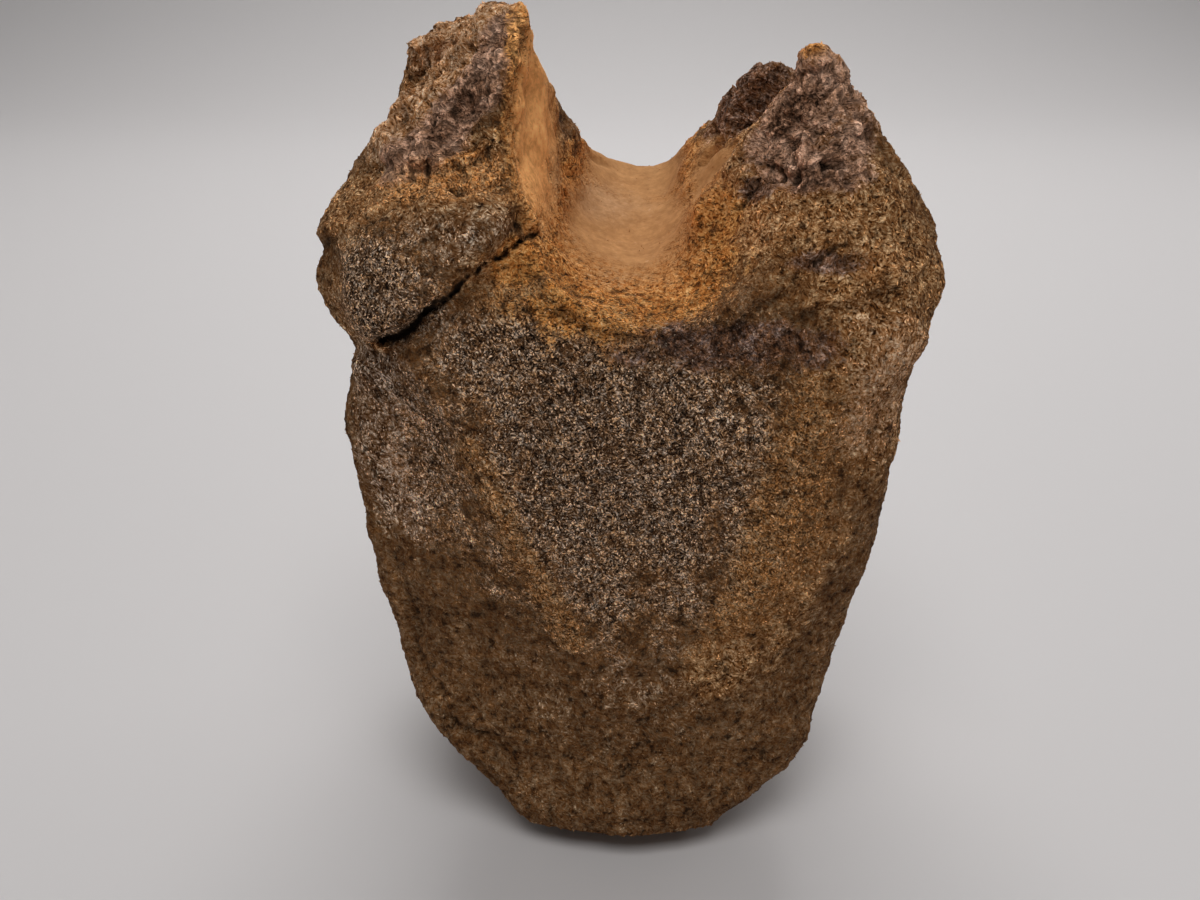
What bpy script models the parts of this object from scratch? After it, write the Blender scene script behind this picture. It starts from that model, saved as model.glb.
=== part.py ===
"""A fossil hadrosaur dorsal vertebra, standing on the two worn rims of its centrum.

The bone is one solid: a spool-shaped centrum, the broken stumps of the neural arch on
either side of the neural canal, and the rib knob that overhangs the centrum's left corner.
Metres, +Z up, the front face looks along -Y and +X is to the right of someone facing it.
"""

import math

import bmesh
import bpy
from mathutils import Vector, noise

MM = 0.001

# Driving dimensions of the centrum, in metres.
FACE_HALF_WIDTH = 51 * MM  # half the front face across its shoulders
FACE_HEIGHT = 116 * MM  # floor to the lip of the neural canal at the front
HALF_LENGTH = 39 * MM  # half the centrum along the spine

# Outline of the centrum's face as (share of the half width, share of the face height),
# from the bottom, up the right side, over the top and down the left side.
SHIELD = [
    (0.01, -0.020), (0.16, -0.016), (0.31, 0.008), (0.46, 0.060), (0.67, 0.135), (0.80, 0.250),
    (0.88, 0.370), (0.95, 0.510), (0.985, 0.640), (1.01, 0.730), (1.04, 0.840), (1.045, 0.920),
    (1.07, 1.000), (0.94, 1.060), (0.69, 1.090), (0.35, 1.120), (0.00, 1.130), (-0.30, 1.130),
    (-0.54, 1.075), (-0.69, 1.025), (-0.86, 0.960), (-1.01, 0.920), (-1.07, 0.830), (-1.075, 0.720),
    (-1.04, 0.630), (-1.01, 0.530), (-0.95, 0.390), (-0.86, 0.255), (-0.71, 0.160), (-0.58, 0.090),
    (-0.43, 0.030), (-0.29, 0.003), (-0.13, -0.016),
]

# Stations of the spool along the spine: share of the half length, size across, size in
# height, and the shift to the right and up, as shares of the half width and the height.
SPOOL = [
    (-1.00, 0.40, 0.50, 0.06, 0.02),
    (-1.00, 0.60, 0.76, 0.05, 0.01),
    (-0.98, 0.80, 0.91, 0.03, -0.01),
    (-0.94, 0.93, 0.965, 0.01, -0.010),
    (-0.86, 0.985, 0.990, 0.00, -0.005),
    (-0.74, 1.00, 1.000, 0.00, 0.00),
    (-0.54, 0.975, 0.985, 0.00, 0.00),
    (-0.22, 0.87, 0.94, 0.00, 0.015),
    (0.15, 0.82, 0.91, 0.00, 0.025),
    (0.50, 0.88, 0.94, 0.00, 0.02),
    (0.80, 0.97, 0.985, 0.00, 0.00),
    (0.95, 0.95, 0.98, 0.00, 0.00),
    (0.94, 0.80, 0.82, 0.00, 0.00),
    (0.84, 0.52, 0.54, 0.00, 0.00),
    (0.78, 0.24, 0.26, 0.00, 0.00),
]

# The broken stumps of the neural arch and the rib knob: corners in millimetres, as
# (right, back, up), of the convex chunks that the breaks left.
CHUNKS = {
    "right_shoulder": [
        (33.4, -12, 160.5), (30.5, -11, 158.5), (36.9, -13, 157.5), (39.5, -14, 152), (45, -15, 145.5),
        (50, -18, 136.5), (54, -21, 131), (59.5, -22, 124.5), (58, -27, 120.5), (52, -29, 109),
        (20, -37, 121.5), (35, -36.5, 127), (48, -35, 123), (38, -32, 100), (5, -34, 112),
        (10, -8, 134), (5, -12, 126), (20, -10, 148), (49, 8, 124), (49, 14, 108), (38, 2, 138),
        (30, 4, 145), (16, 8, 140), (6, 14, 118), (48, -28, 88), (46, 10, 90),
    ],
    "right_knob": [
        (26, 17, 153), (32.5, 18, 153), (22, 16, 148.5), (17, 17, 143.5), (12, 18, 137.5),
        (10, 26, 133.5), (8, 34, 129), (38, 22, 146), (42, 20, 135), (34, 30, 140), (24, 33, 132),
        (44, 10, 122), (40, 34, 116), (6, 12, 125), (8, 34, 110),
    ],
    "left_blade": [
        (-16.8, -14, 169), (-22.5, -12, 168), (-28, -11.5, 163.5), (-34, -11, 158.5), (-40, -11, 151.5),
        (-49.5, -13, 141), (-54.8, -17, 133), (-57, -19, 128), (-57, -21, 120), (-50.8, -27, 128.5),
        (-44.4, -28, 131.5), (-37, -28, 137), (-31, -27, 137.3), (-20, -28, 137), (-20, -15, 161),
        (-14, -6, 156), (-12, -26, 131), (-15, 2, 152), (-45, 2, 140), (-38, 4, 146), (-50, 14, 112),
        (-6, 10, 122), (-52, -22, 104), (-28, 2, 152), (-10, -14, 150), (-8, 2, 140),
    ],
    "left_block": [
        (-41, 6, 159.5), (-41.5, 8, 149), (-33, 7, 162), (-28, 6, 163), (-42, 14, 147), (-30, 16, 154),
        (-26, 12, 153), (-16, -1, 150), (-43, 4, 138), (-46, 18, 128), (-6, 18, 137), (-8, 4, 142), (-4, 4, 128),
    ],
    "left_wall": [
        (-8, -2, 149), (-6, 11, 141), (-4, 22, 136), (0, 34, 130), (-14, 30, 133.5), (-2, 0, 126),
        (-30, 28, 137), (-40, 26, 128), (-43, 33, 114), (-2, 35, 118), (-20, 3, 150), (-44, 4, 118),
    ],
    "rib_knob": [
        (-51.5, -28, 109), (-54.5, -26, 112), (-57, -24, 117), (-57.8, -21, 123), (-56.5, -20, 128),
        (-50.8, -30, 130), (-44.4, -32, 133), (-37, -33, 138), (-31, -33, 138.3), (-20.5, -32, 136.5),
        (-16.3, -31, 131.5), (-21.5, -37, 129.5), (-27.5, -39, 125.2), (-35, -40, 119.8), (-44, -37, 111.8),
        (-47, -38, 118), (-38, -41, 127), (-28, -39.5, 132), (-50, 0, 112), (-20, 0, 120),
    ],
}

# The neural canal, as sections along the spine in millimetres: the place along the spine,
# then points (right, up) from the top of the left wall, over the floor, to the right wall.
CANAL = [
    (-64, [(-31, 185), (-24, 150), (-20, 131), (-13, 114), (3, 96), (15, 100), (30, 110), (50, 122), (95, 150)]),
    (-42, [(-30, 185), (-24, 150), (-17.5, 131), (-11, 120), (2, 113.5), (12, 115), (24, 121), (37, 128), (84, 160)]),
    (-36, [(-30, 185), (-24, 150), (-18, 132), (-11, 121.5), (2, 116.5), (12, 118), (22, 124), (34, 132), (80, 165)]),
    (-28, [(-29, 185), (-24, 150), (-19, 136), (-12, 123), (2, 118), (11, 120), (20, 127), (30, 138), (70, 185)]),
    (-14, [(-19, 185), (-18.5, 152), (-16.5, 136), (-11, 124.5), (2, 120), (9, 124), (15, 134.5), (23, 147), (50, 185)]),
    (2, [(-17, 185), (-15.5, 152), (-14, 138), (-9, 126), (2, 121.5), (9, 124), (15, 131), (26, 142), (58, 185)]),
    (20, [(-16, 185), (-12.5, 150), (-10, 138), (-6, 128.5), (3, 125), (9, 127), (13, 134), (21, 145), (48, 185)]),
    (38, [(-18, 185), (-11, 150), (-6.5, 137), (-2.5, 130.5), (4, 128.5), (9, 129.5), (12, 132.5), (22, 143), (48, 185)]),
    (60, [(-30, 185), (-22, 150), (-14, 137), (-6, 133), (4, 132), (12, 133), (22, 138), (34, 150), (60, 185)]),
]

# The flatter middle of the front face: height, left edge and right edge in millimetres.
# Outside it the face falls back towards the rim.
PLATEAU = [(20, 2, 8), (40, -4, 17), (61, -12, 25), (84, -20, 31), (101, -28, 35), (118, -44, 45), (140, -60, 60)]
FALL_BACK = 8  # how far the rim stands behind the plateau, in millimetres
FALL_WIDTH = 34  # over what width it falls back
RIDGE = 1.3  # how far the edge of the plateau stands proud
RIDGE_WIDTH = 5
FACE_DEPTH = -15  # the front of the bone, as a place along the spine, that the face takes in
FACE_TOP = 140  # height at which the face has turned into the arch

# Places where the bone is pressed in or, with a negative depth, swollen out: the centre
# (right, back, up), the radius and the depth, in millimetres.
DENTS = [
    ((8, -39, 106), 20, 1.6),  # the hollow under the lip of the canal
    ((4, -40, 84), 20, 0.9),
    ((-42, -33, 98), 10, 1.5),  # the trough beside the left ridge, under the knob
    ((-37, -34, 86), 10, 1.2),
    ((47, -28, 104), 9, 1.2),
    ((20, -38, 114), 8, 1.6),
    ((31, -37, 118), 8, 1.8),
    ((42, -36, 117), 8, 1.6),
    ((-30, -17, 152), 10, 2.4),  # the broken slope of the left stump
    ((-38, -16, 146), 6, 1.6),
    ((34, -15, 150), 9, 1.6),  # the broken slope of the right stump
    ((27, -22, 142), 6, 1.4),
    ((50, -20, 128), 7, -1.2),
    ((-47, -32, 120), 9, -1.0),  # the swelling of the rib knob
    ((-2, -37, 16), 4, 1.4),
    ((1, -38, 9), 3, 1.2),
    ((39, -35, 128), 4, 1.8),
    ((20, -26, 136.5), 5, 2.2),  # a pit beside the canal
    ((15, -22, 133), 4, -1.2),
    ((44, 2, 72), 4, 2.0),  # the nutrient holes of the flanks
    ((-44, -3, 66), 4, 2.0),
]

# The crack under the rib knob, as a line (right, back, up) with the width there, in millimetres.
CRACK = [
    (-53, -30, 109, 2.2), (-47.5, -35, 109.6, 2.6), (-43.2, -38, 112.6, 2.4), (-39.5, -39, 115, 1.6),
    (-34.5, -40, 120, 1.8), (-31, -40, 122.6, 1.1), (-27.3, -39.5, 125.6, 1.2), (-21, -37, 129.2, 0.9),
    (-16, -32, 131.5, 0.7),
]
CRACK_INWARD = Vector((0.25, 0.85, 0.45)).normalized()
CRACK_ACROSS = Vector((0.5, 0.1, -0.85)).normalized()
CRACK_DEPTH = 5
CRACK_OUTSIDE = 4  # how far the cutting wedge stands out of the bone

# The gap between the right shoulder and the knob behind it.
NOTCH = [(6, 4, 170), (6, 15, 170), (10, 9.5, 128), (56, 6, 170), (56, 14, 170), (52, 10, 146), (20, 9.5, 133)]

# How the bone is worn, first as a block and then, more finely, once the canal is through it:
# (size, height) in millimetres of the lumps all over, of the torn crags of the arch, and of
# the crumbling of the flanks.
COARSE_WEAR = {"lumps": [(26, 1.4), (11, 0.5)], "crags": [(13, 3.0), (7, 2.0)], "crumbs": [(12, 0.9)]}
FINE_WEAR = {"lumps": [(14, 0.4), (6, 0.3)], "crags": [(9, 1.4), (5, 1.2)], "crumbs": [(7, 1.0)]}
ARCH_BASE = 122  # height in millimetres above which the bone is torn
ARCH_RISE = 22  # over what height that sets in

SECTION_POINTS = 72  # round the centrum
CANAL_STEPS = 5  # between two points of a canal section
VOXEL = 1.2 * MM
COARSE_SOFTENING = 3
FINE_SOFTENING = 2
MOST_FACES = 9200


def clear_scene():
    for obj in list(bpy.data.objects):
        bpy.data.objects.remove(obj)


def spline(a, b, c, d, t):
    """The point between b and c on the Catmull-Rom curve through the four."""
    return 0.5 * (2 * b + (c - a) * t + (2 * a - 5 * b + 4 * c - d) * t**2 + (3 * b - a - 3 * c + d) * t**3)


def closed_curve(points, count):
    """Points spread along a smooth closed curve through the given ones."""
    total = len(points)
    made = []
    for step in range(count):
        at = step * total / count
        first = int(at)
        near = [Vector(points[(first + k - 1) % total]) for k in range(4)]
        made.append(spline(*near, at - first))
    return made


def open_curve(points, steps):
    """A smooth curve through the points, with a number of steps between each two."""
    ends = [points[0], *points, points[-1]]
    made = []
    for k in range(len(points) - 1):
        near = [Vector(p) for p in ends[k : k + 4]]
        made += [spline(*near, step / steps) for step in range(steps)]
    return [*made, Vector(points[-1])]


def mesh_object(name, shape):
    bmesh.ops.recalc_face_normals(shape, faces=shape.faces)
    mesh = bpy.data.meshes.new(name)
    shape.to_mesh(mesh)
    shape.free()
    obj = bpy.data.objects.new(name, mesh)
    bpy.context.scene.collection.objects.link(obj)
    return obj


def loft(name, rings):
    """A closed skin over rings of equally many points, with a flat face at either end."""
    shape = bmesh.new()
    loops = [[shape.verts.new(point) for point in ring] for ring in rings]
    for below, above in zip(loops, loops[1:]):
        for k in range(len(below)):
            after = (k + 1) % len(below)
            shape.faces.new((below[k], below[after], above[after], above[k]))
    for end in (loops[0], loops[-1]):
        shape.faces.new(end)
    return mesh_object(name, shape)


def spool():
    """The centrum: the shield outline carried along the spine, waisted in the middle."""
    outline = closed_curve(SHIELD, SECTION_POINTS)
    rings = []
    for along, across, tall, right, up in SPOOL:
        rings.append(
            [
                Vector(
                    (
                        (x * across + right) * FACE_HALF_WIDTH,
                        along * HALF_LENGTH,
                        ((z - 0.5) * tall + 0.5 + up) * FACE_HEIGHT,
                    )
                )
                for x, z in outline
            ]
        )
    return loft("centrum", rings)


def chunk(name, corners):
    """A convex block of bone between its corners."""
    shape = bmesh.new()
    for corner in corners:
        shape.verts.new(Vector(corner) * MM)
    made = bmesh.ops.convex_hull(shape, input=shape.verts)
    bmesh.ops.delete(shape, geom=list({*made["geom_interior"], *made["geom_unused"]}), context="VERTS")
    return mesh_object(name, shape)


def canal_cutter():
    """The trough of the neural canal, as the space that it leaves."""
    rings = []
    for along, section in CANAL:
        rings.append([Vector((p.x, along, p.y)) * MM for p in open_curve(section, CANAL_STEPS)])
    return loft("canal_cutter", rings)


def made_plain(obj):
    """Bakes an object's modifiers into its mesh."""
    graph = bpy.context.evaluated_depsgraph_get()
    mesh = bpy.data.meshes.new_from_object(obj.evaluated_get(graph))
    obj.modifiers.clear()
    obj.data = mesh


def one_skin(obj, voxel, steps):
    """Remeshes the object as one even skin and softens it."""
    remesh = obj.modifiers.new("one_skin", "REMESH")
    remesh.mode = "VOXEL"
    remesh.voxel_size = voxel
    soften = obj.modifiers.new("soften", "SMOOTH")
    soften.factor = 0.5
    soften.iterations = steps
    made_plain(obj)


def joined(name, pieces):
    whole = bmesh.new()
    for piece in pieces:
        whole.from_mesh(piece.data)
        bpy.data.objects.remove(piece)
    return mesh_object(name, whole)


def carve(obj, cutter):
    cut = obj.modifiers.new("carve", "BOOLEAN")
    cut.operation = "DIFFERENCE"
    cut.object = cutter
    made_plain(obj)
    bpy.data.objects.remove(cutter)


def eased(share):
    share = min(max(share, 0), 1)
    return share * share * (3 - 2 * share)


def between(table, at):
    """The row of the table at a height, read off between its neighbours."""
    for low, high in zip(table, table[1:]):
        if at <= high[0] or high is table[-1]:
            share = (at - low[0]) / (high[0] - low[0])
            return [a + (b - a) * share for a, b in zip(low[1:], high[1:])]
    return list(table[-1][1:])


def shape_face(obj):
    """Lets the front face fall back on either side of its flatter middle, from a low ridge."""
    for vert in obj.data.vertices:
        x, y, z = vert.co / MM
        if y > FACE_DEPTH or z > FACE_TOP:
            continue
        left, right = between(PLATEAU, z)
        outside = max(left - x, x - right)
        front = eased((FACE_DEPTH - y) / 15) * eased((FACE_TOP - z) / 25)
        fall = FALL_BACK * eased(outside / FALL_WIDTH) * (0.25 + 0.75 * eased((z - 8) / 40))
        ridge = RIDGE * math.exp(-((outside / RIDGE_WIDTH) ** 2)) * eased((z - 40) / 30)
        vert.co.y += (fall - ridge) * MM * front


def dent(obj):
    """Presses the hollows in and swells the lumps out."""
    for centre, radius, depth in DENTS:
        middle = Vector(centre) * MM
        for vert in obj.data.vertices:
            share = (vert.co - middle).length / (radius * MM)
            if share < 1:
                vert.co -= vert.normal * depth * MM * (1 - share**2) ** 2


def rough(place, size, seed):
    """Even noise between about -1 and 1, with lumps of the given size in metres."""
    return noise.noise(place / size + Vector((seed, seed * 1.7, seed * 0.6)))


def weather(obj, wear):
    """Wears the skin into lumps, tears the arch above the centrum and crumbles the flanks."""
    moved = []
    for vert in obj.data.vertices:
        torn = eased((vert.co.z / MM - ARCH_BASE) / ARCH_RISE)
        flank = eased((abs(vert.normal.x) - 0.25) / 0.4)
        push = 0
        for seed, (size, height) in enumerate(wear["lumps"], 3):
            push += height * rough(vert.co, size * MM, seed)
        for seed, (size, height) in enumerate(wear["crags"], 11):
            push += torn * height * (0.4 - abs(rough(vert.co, size * MM, seed)))
        for seed, (size, height) in enumerate(wear["crumbs"], 21):
            push += flank * height * rough(vert.co, size * MM, seed)
        moved.append(vert.co + vert.normal * MM * push)
    for vert, place in zip(obj.data.vertices, moved):
        vert.co = place


def crack_cutter():
    """The thin crack under the rib knob: a wedge that points up and back into the bone."""
    rings = []
    for point in open_curve(CRACK, 3):
        half = CRACK_ACROSS * point.w
        deep = point.to_3d() + CRACK_INWARD * CRACK_DEPTH
        out = point.to_3d() - CRACK_INWARD * CRACK_OUTSIDE
        rings.append([p * MM for p in (deep + half * 0.1, deep - half * 0.1, out - half, out + half)])
    return loft("crack", rings)


def thinned(obj, most):
    """Keeps the given number of faces, fewest where the skin is flat."""
    fewer = obj.modifiers.new("fewer", "DECIMATE")
    fewer.ratio = most / (2 * len(obj.data.polygons))
    fewer.use_collapse_triangulate = True
    made_plain(obj)


def stand(obj):
    """Wears the rims flat where the bone stands, and centres it over the origin."""
    low = [min(vert.co[k] for vert in obj.data.vertices) for k in range(2)]
    high = [max(vert.co[k] for vert in obj.data.vertices) for k in range(2)]
    shape = bmesh.new()
    shape.from_mesh(obj.data)
    cut = bmesh.ops.bisect_plane(
        shape,
        geom=[*shape.verts, *shape.edges, *shape.faces],
        plane_co=(0, 0, 0),
        plane_no=(0, 0, 1),
        clear_inner=True,
    )
    bmesh.ops.contextual_create(shape, geom=[e for e in cut["geom_cut"] if isinstance(e, bmesh.types.BMEdge)])
    bmesh.ops.triangulate(shape, faces=[f for f in shape.faces if len(f.verts) > 3])
    middle = Vector((low[0] + high[0], low[1] + high[1], 0)) / 2
    bmesh.ops.translate(shape, verts=shape.verts, vec=-middle)
    shape.to_mesh(obj.data)
    shape.free()


def stone():
    """The iron-stained sandy brown of the mineralised bone."""
    material = bpy.data.materials.new("fossil_bone")
    material.use_nodes = True
    shader = material.node_tree.nodes["Principled BSDF"]
    shader.inputs["Base Color"].default_value = (0.16, 0.085, 0.035, 1)
    shader.inputs["Roughness"].default_value = 0.9
    shader.inputs["Metallic"].default_value = 0
    return material


def main():
    clear_scene()
    bone = joined("vertebra", [spool(), *(chunk(name, corners) for name, corners in CHUNKS.items())])
    one_skin(bone, VOXEL, COARSE_SOFTENING)
    shape_face(bone)
    weather(bone, COARSE_WEAR)
    carve(bone, canal_cutter())
    carve(bone, chunk("notch", NOTCH))
    one_skin(bone, VOXEL, FINE_SOFTENING)
    dent(bone)
    weather(bone, FINE_WEAR)
    thinned(bone, MOST_FACES)
    carve(bone, crack_cutter())
    stand(bone)
    bone.data.materials.clear()
    bone.data.materials.append(stone())
    bone.data.shade_smooth()


main()
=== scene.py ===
import math

import bmesh
import bpy
import numpy as np
from mathutils import Matrix, Vector, noise
from mathutils.kdtree import KDTree


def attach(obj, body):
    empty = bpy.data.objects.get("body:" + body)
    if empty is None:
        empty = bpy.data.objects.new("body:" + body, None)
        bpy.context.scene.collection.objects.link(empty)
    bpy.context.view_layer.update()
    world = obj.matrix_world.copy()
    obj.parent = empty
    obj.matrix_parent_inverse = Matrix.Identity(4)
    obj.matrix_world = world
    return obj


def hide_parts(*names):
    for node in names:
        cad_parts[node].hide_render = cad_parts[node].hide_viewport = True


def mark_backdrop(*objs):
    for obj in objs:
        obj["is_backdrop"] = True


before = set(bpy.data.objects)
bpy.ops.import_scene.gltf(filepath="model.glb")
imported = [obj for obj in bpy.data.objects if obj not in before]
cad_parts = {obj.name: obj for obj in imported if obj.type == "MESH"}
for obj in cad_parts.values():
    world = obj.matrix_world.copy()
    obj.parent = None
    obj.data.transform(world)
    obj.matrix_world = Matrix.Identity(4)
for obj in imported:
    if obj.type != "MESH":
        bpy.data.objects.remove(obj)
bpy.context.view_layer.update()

mm = 0.001


# objects, meshes and points
def newObject(name, mesh):
    made = bpy.data.objects.new(name, mesh)
    bpy.context.scene.collection.objects.link(made)
    return made


def settle(piece):
    # what the modifiers give, kept as a plain mesh
    bpy.context.view_layer.update()
    graph = bpy.context.evaluated_depsgraph_get()
    shown = piece.evaluated_get(graph)
    made = bpy.data.meshes.new_from_object(shown, preserve_all_data_layers=True, depsgraph=graph)
    piece.modifiers.clear()
    old = piece.data
    piece.data = made
    made.name = piece.name
    bpy.data.meshes.remove(old)


def pointsOf(mesh):
    flat = np.empty(len(mesh.vertices) * 3, np.float32)
    mesh.vertices.foreach_get("co", flat)
    return flat.reshape(-1, 3).astype(float) / mm


def movePoints(mesh, points):
    mesh.vertices.foreach_set("co", (points * mm).astype(np.float32).ravel())
    mesh.update()


def normalsOf(mesh):
    flat = np.empty(len(mesh.vertices) * 3, np.float32)
    mesh.vertex_normals.foreach_get("vector", flat)
    return flat.reshape(-1, 3).astype(float)


def edgesOf(mesh):
    flat = np.empty(len(mesh.edges) * 2, np.int32)
    mesh.edges.foreach_get("vertices", flat)
    return flat.reshape(-1, 2)


def softened(points, edges, times):
    # each point moves half way to the middle of its neighbours
    ends, others = edges.ravel(), edges[:, ::-1].ravel()
    count = np.bincount(ends, minlength=len(points))[:, None]
    for turn in range(times):
        sums = [np.bincount(ends, column[others], len(points)) for column in points.T]
        points = points + 0.5 * (np.column_stack(sums) / count - points)
    return points


def keepAboveTable(mesh):
    points = pointsOf(mesh)
    points[:, 2] = np.maximum(points[:, 2], 0)
    movePoints(mesh, points)
    return points


def storeLevel(mesh, name, values):
    old = mesh.attributes.get(name)
    if old:
        mesh.attributes.remove(old)
    layer = mesh.attributes.new(name, "FLOAT", "POINT")
    layer.data.foreach_set("value", np.clip(values, 0, 1).astype(np.float32))


def wobble(points, size, amount):
    # a slow random drift, by place
    return amount * np.array([noise.noise(Vector(point) / size) for point in points])


def between(ends, share):
    return ends[0] + share * (ends[1] - ends[0])


def besideLine(points, line, down=(0, 0, 1)):
    # how far each point is from the line, how far down from it, and its share of the way along it
    line = [np.array(corner, float) for corner in line]
    nearest = np.full(len(points), np.inf)
    side = np.zeros(len(points))
    along = np.zeros(len(points))
    for place, (start, end) in enumerate(zip(line[:-1], line[1:])):
        run = end - start
        share = np.clip((points - start) @ run / (run @ run), 0, 1)
        gap = points - start - share[:, None] * run
        far = np.linalg.norm(gap, axis=1)
        closer = far < nearest
        nearest[closer] = far[closer]
        side[closer] = (gap @ np.array(down))[closer]
        along[closer] = (place + share[closer]) / (len(line) - 1)
    return nearest, side, along


# steps in the bone: a line, the way down from it, then rise, dip and width in mm
ledges = {
    "ribKnob": {
        "line": [(-57, -19, 127.5), (-48, -28, 132), (-38.5, -27.5, 137), (-29.5, -29.5, 139),
                 (-17, -27, 132)],
        "down": (-0.15, -0.6, -0.78), "rise": 0.8, "dip": 1.5, "width": 1.8,
    },
    "canalLip": {
        "line": [(-12, -37, 120), (-2, -37.5, 115.5), (10, -37.5, 115.5), (19, -37, 119),
                 (26, -36, 123)],
        "down": (0.0, -0.35, -0.94), "rise": 0.7, "dip": 1.4, "width": 1.4,
    },
    "leftCrag": {
        "line": [(-45, -19, 142), (-41, -23, 143), (-35, -26, 142.5), (-28, -27, 143), (-23, -25, 147)],
        "down": (0.0, -0.55, -0.83), "rise": 0.7, "dip": 0.9, "width": 1.1,
    },
    "rightCrag": {
        "line": [(22, -19, 142), (27, -21, 141), (33, -25, 142), (39, -21, 146), (44, -18, 147)],
        "down": (0.1, -0.6, -0.79), "rise": 0.6, "dip": 1.2, "width": 1.2,
    },
    "shoulderNick": {
        "line": [(27, -35, 125.5), (31, -34.5, 127.5), (35, -33.5, 129), (39, -32, 129)],
        "down": (0.0, -0.7, -0.71), "rise": 0.4, "dip": 1.2, "width": 1.1,
    },
    "flangeTop": {
        "line": [(28, -36.5, 119), (35.5, -35, 120.2), (42, -33.7, 121.5), (48, -31.7, 123.5),
                 (53, -27, 125)],
        "down": (0.0, -0.3, -0.95), "rise": 0.5, "dip": 1.3, "width": 1.8,
    },
    "leftBlock": {
        "line": [(-41, 3, 149), (-35, 0, 157), (-29, -3, 163)],
        "down": (0.25, -0.9, -0.35), "rise": 0.3, "dip": 1.4, "width": 1.6,
    },
}

# how far a ledge reaches, how its line wanders, and how its brow and its sides fade, all in mm
ledgeForm = {"reach": 9, "wanderSize": 3.5, "wander": 1.3, "brow": 3.0, "fade": 2.6}


def stepHeights(points, ledge):
    heights = np.zeros(len(points))
    near, side, _ = besideLine(points, ledge["line"], ledge["down"])
    picked = near < ledgeForm["reach"]
    side = side[picked] + wobble(points[picked], ledgeForm["wanderSize"], ledgeForm["wander"])
    off = np.sqrt(np.maximum(near[picked] ** 2 - side ** 2, 0))
    above = ledge["rise"] * np.exp(-(side / ledgeForm["brow"]) ** 2)
    fall = np.maximum(side, 0) / ledge["width"]
    below = -ledge["dip"] * fall * np.exp(1 - fall)
    heights[picked] = np.where(side < 0, above, below) * np.exp(-(off / ledgeForm["fade"]) ** 2)
    return heights


# furrows, or ridges where the depth is negative: a line, then width and depth in mm at its two ends
furrows = {
    "leftArris": {
        "line": [(-19.5, -13.5, 164), (-22.5, -19, 156), (-22.5, -23, 147), (-20.5, -27, 138),
                 (-16.5, -27, 132)],
        "width": (1.3, 1.6), "depth": (-0.9, -0.9),
    },
    "rightArris": {
        "line": [(33, -13, 157), (38, -16, 151), (43, -19, 147), (48, -22, 139)],
        "width": (1.3, 1.8), "depth": (-0.7, -0.6),
    },
    "leftRidge": {
        "line": [(-39, -35.3, 108.8), (-34, -37, 102.8), (-29, -37.4, 93), (-24, -38.2, 81),
                 (-18.6, -38, 68.3), (-13.2, -36.9, 56.5)],
        "width": (2.2, 1.8), "depth": (-0.8, -0.9),
    },
    "leftEdge": {
        "line": [(-52, -24, 100), (-50, -25, 82), (-47, -27, 64), (-43, -28, 48)],
        "width": (2.4, 1.8), "depth": (0.9, 1.1),
    },
    "knobNotch": {
        "line": [(17, 13, 139), (20, 12, 143), (24, 9, 148)],
        "width": (1.2, 1.6), "depth": (1.6, 1.2),
    },
    "leftFlankRidge": {
        "line": [(-49, -14, 118), (-46, -10, 98), (-44.5, -6, 76), (-40.5, -4, 52), (-35.5, -3, 32)],
        "width": (1.6, 1.4), "depth": (-0.7, -0.9),
    },
    "leftFlankGroove": {
        "line": [(-44, 12, 104), (-44.6, 11, 88), (-44.6, 14, 66), (-41.5, 13, 46)],
        "width": (1.5, 1.2), "depth": (0.8, 1.0),
    },
    "rightFlankRidge": {
        "line": [(51, -12, 112), (47.5, -8, 92), (43, -6, 70), (39.5, -5, 50), (34.5, -4, 32)],
        "width": (1.6, 1.4), "depth": (-0.8, -0.8),
    },
    "rightFlankGroove": {
        "line": [(49, 13, 112), (45.5, 12, 92), (42.6, 13, 70), (38.5, 12, 50)],
        "width": (1.4, 1.4), "depth": (0.9, 0.8),
    },
    "rearShelf": {
        "line": [(-10, 26, 134), (-5, 29.5, 130.5), (1, 31, 128.5)],
        "width": (1.0, 0.8), "depth": (1.2, 0.6),
    },
}
furrowForm = {"reach": 7, "wanderSize": 2.5, "wander": 0.8}  # in mm


def furrowHeights(points, furrow):
    heights = np.zeros(len(points))
    near, _, along = besideLine(points, furrow["line"])
    picked = near < furrowForm["reach"]
    near, along = near[picked], along[picked]
    near = np.abs(near + wobble(points[picked], furrowForm["wanderSize"], furrowForm["wander"]))
    width = between(furrow["width"], along)
    heights[picked] = -between(furrow["depth"], along) * np.exp(-(near / width) ** 2)
    return heights


# single hollows, or lumps where the depth is negative: place, radius and depth in mm
hollows = [
    ((17.5, -25, 131.5), 1.2, 0.9),
    ((0.7, -37.3, 21.1), 1.2, 0.9),
    ((0.0, -37.5, 17.4), 1.3, 1.0),
    ((27.5, -37.5, 89.5), 2.2, 0.5),
    ((-12, -37.5, 112), 1.6, 0.4),
    ((-45.8, -31.8, 111.2), 2.6, -1.6),
    ((31.6, -13.5, 159.0), 9.5, -2.9),
    ((-45.0, 2.0, 74.0), 3.4, 2.4),
    ((-45.5, 9.0, 86.0), 2.0, 1.6),
    ((42.1, 1.0, 68.0), 3.6, 2.6),
    ((42.4, 8.0, 76.0), 1.8, 1.4),
    ((39.5, -4.0, 52.0), 1.6, 1.3),
    ((3.0, 32.6, 72.0), 2.2, 0.8),
    ((-14.0, 33.6, 48.0), 1.6, 0.9),
]
hollowRoundness = 0.7
lumpRoundness = 1.3


def hollowHeights(points):
    heights = np.zeros(len(points))
    for place, radius, depth in hollows:
        far = np.linalg.norm(points - np.array(place), axis=1)
        roundness = hollowRoundness if depth > 0 else lumpRoundness
        heights -= depth * np.clip(1 - far / radius, 0, 1) ** roundness
    return heights


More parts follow.
